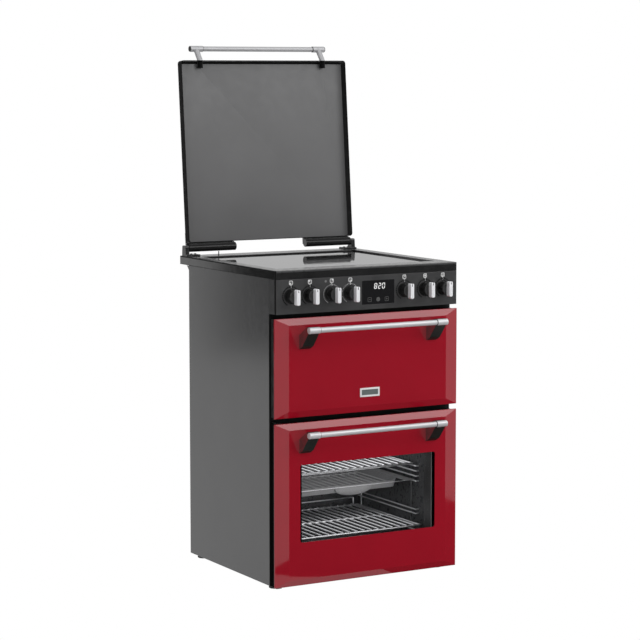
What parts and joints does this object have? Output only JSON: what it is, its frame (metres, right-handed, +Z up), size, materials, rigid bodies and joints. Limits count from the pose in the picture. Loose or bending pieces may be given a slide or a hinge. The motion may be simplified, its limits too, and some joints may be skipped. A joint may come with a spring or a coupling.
{
  "type": "range cooker",
  "caption": "Freestanding induction range cooker with a hinged hob lid, a drop-down top oven door, a side-hung windowed oven door, rotary controls and bar handles.",
  "frame": {"origin": "on the floor under the middle of the cooker's overall outline, lid open as pictured", "axes": "+X to the right seen from the front, +Y to the back, +Z up"},
  "size_m": [0.6, 0.7296, 1.5207],
  "materials": {
    "red_enamel": "glossy",
    "black_enamel": "glossy",
    "rim_enamel": "glossy",
    "bracket_enamel": "satin",
    "pan_enamel": "glossy",
    "panel_paint": "satin",
    "lid_enamel": "satin",
    "cavity_enamel": "speckled gloss",
    "galvanised_steel": "satin",
    "chrome": "polished",
    "wire_chrome": "polished",
    "black_gloss": "glossy",
    "black_plastic": "matt",
    "ceramic_glass": "polished",
    "window_glass": "polished",
    "clock_glass": "polished",
    "tray_aluminium": "satin",
    "coil_copper": "lacquered windings",
    "element_steel": "matt",
    "glass_fibre": "matt",
    "seal_rubber": "matt",
    "lamp_glass": "clear"
  },
  "bodies": {
    "cooker": {"base_pan": "galvanised_steel", "levelling_feet": "black_plastic", "side_panel_left": "panel_paint", "side_panel_right": "panel_paint", "back_panel": "galvanised_steel", "front_frame": "black_enamel", "terminal_cover": "black_plastic", "fixing_screws": "element_steel", "control_fascia": "black_enamel", "display_window": "clock_glass", "clock_module": "black_plastic", "control_switches": "black_plastic", "hob_frame": "rim_enamel", "hob_glass": "ceramic_glass", "hob_tray": "tray_aluminium", "induction_coils": "coil_copper", "hob_electronics": "galvanised_steel", "main_oven_liner": "cavity_enamel", "top_oven_liner": "cavity_enamel", "insulation": "glass_fibre", "grill_element": "element_steel", "fan_baffle": "cavity_enamel", "fan_motor": "galvanised_steel", "ring_element": "element_steel", "oven_lamp": "lamp_glass", "door_seals": "seal_rubber", "shelf_runners": "wire_chrome", "upper_wire_shelf": "wire_chrome", "lower_wire_shelf": "wire_chrome", "top_oven_shelf": "wire_chrome", "roasting_pan": "pan_enamel", "pan_grid": "wire_chrome", "door_hinge_brackets": "black_enamel", "lid_hinge_posts": "black_enamel"},
    "lid": {"lid_pan": "lid_enamel", "lid_handle_bar": "chrome", "lid_handle_rods": "chrome", "lid_hinge_barrels": "black_enamel"},
    "top_door": {"top_door_skin": "red_enamel", "top_door_inner": "black_enamel", "top_door_handle_bar": "chrome", "top_door_handle_brackets": "bracket_enamel"},
    "main_door": {"main_door_skin": "red_enamel", "main_door_outer_glass": "window_glass", "main_door_inner_frame": "black_enamel", "main_door_inner_glass": "window_glass", "main_door_handle_bar": "chrome", "main_door_handle_brackets": "bracket_enamel"},
    "fan_wheel": {"convection_fan": "tray_aluminium"},
    "knob_front_left_zone_turn": {"knob_front_left_zone": "black_gloss"},
    "knob_rear_left_zone_turn": {"knob_rear_left_zone": "black_gloss"},
    "knob_rear_right_zone_turn": {"knob_rear_right_zone": "black_gloss"},
    "knob_front_right_zone_turn": {"knob_front_right_zone": "black_gloss"},
    "knob_top_oven_turn": {"knob_top_oven": "black_gloss"},
    "knob_oven_function_turn": {"knob_oven_function": "black_gloss"},
    "knob_main_oven_turn": {"knob_main_oven": "black_gloss"}
  },
  "joints": [
    {"name": "lid_hinge", "type": "hinge", "parent": "cooker", "child": "lid", "pos_m": [0, 0.28022, 0.923], "axis": [1, 0, 0], "range_deg": [0, 94.9]},
    {"name": "top_door_hinge", "type": "hinge", "parent": "cooker", "child": "top_door", "pos_m": [0, -0.28278, 0.494], "axis": [1, 0, 0], "range_deg": [0, 90]},
    {"name": "main_door_hinge", "type": "hinge", "parent": "cooker", "child": "main_door", "pos_m": [-0.283, -0.28078, 0.242], "axis": [0, 0, -1], "range_deg": [0, 100]},
    {"name": "fan_spin", "type": "hinge", "parent": "cooker", "child": "fan_wheel", "pos_m": [0, 0.16322, 0.26], "axis": [0, 1, 0], "continuous": true},
    {"name": "knob_front_left_zone_joint", "type": "hinge", "parent": "cooker", "child": "knob_front_left_zone_turn", "pos_m": [-0.249, -0.30678, 0.8285], "axis": [0, 1, 0], "range_deg": [0, 290]},
    {"name": "knob_rear_left_zone_joint", "type": "hinge", "parent": "cooker", "child": "knob_rear_left_zone_turn", "pos_m": [-0.189, -0.30678, 0.8285], "axis": [0, 1, 0], "range_deg": [0, 290]},
    {"name": "knob_rear_right_zone_joint", "type": "hinge", "parent": "cooker", "child": "knob_rear_right_zone_turn", "pos_m": [-0.119, -0.30678, 0.8285], "axis": [0, 1, 0], "range_deg": [0, 290]},
    {"name": "knob_front_right_zone_joint", "type": "hinge", "parent": "cooker", "child": "knob_front_right_zone_turn", "pos_m": [-0.059, -0.30678, 0.8285], "axis": [0, 1, 0], "range_deg": [0, 290]},
    {"name": "knob_top_oven_joint", "type": "hinge", "parent": "cooker", "child": "knob_top_oven_turn", "pos_m": [0.119, -0.30678, 0.8285], "axis": [0, 1, 0], "range_deg": [0, 290]},
    {"name": "knob_oven_function_joint", "type": "hinge", "parent": "cooker", "child": "knob_oven_function_turn", "pos_m": [0.189, -0.30678, 0.8285], "axis": [0, 1, 0], "range_deg": [0, 330]},
    {"name": "knob_main_oven_joint", "type": "hinge", "parent": "cooker", "child": "knob_main_oven_turn", "pos_m": [0.249, -0.30678, 0.8285], "axis": [0, 1, 0], "range_deg": [0, 290]}
  ]
}
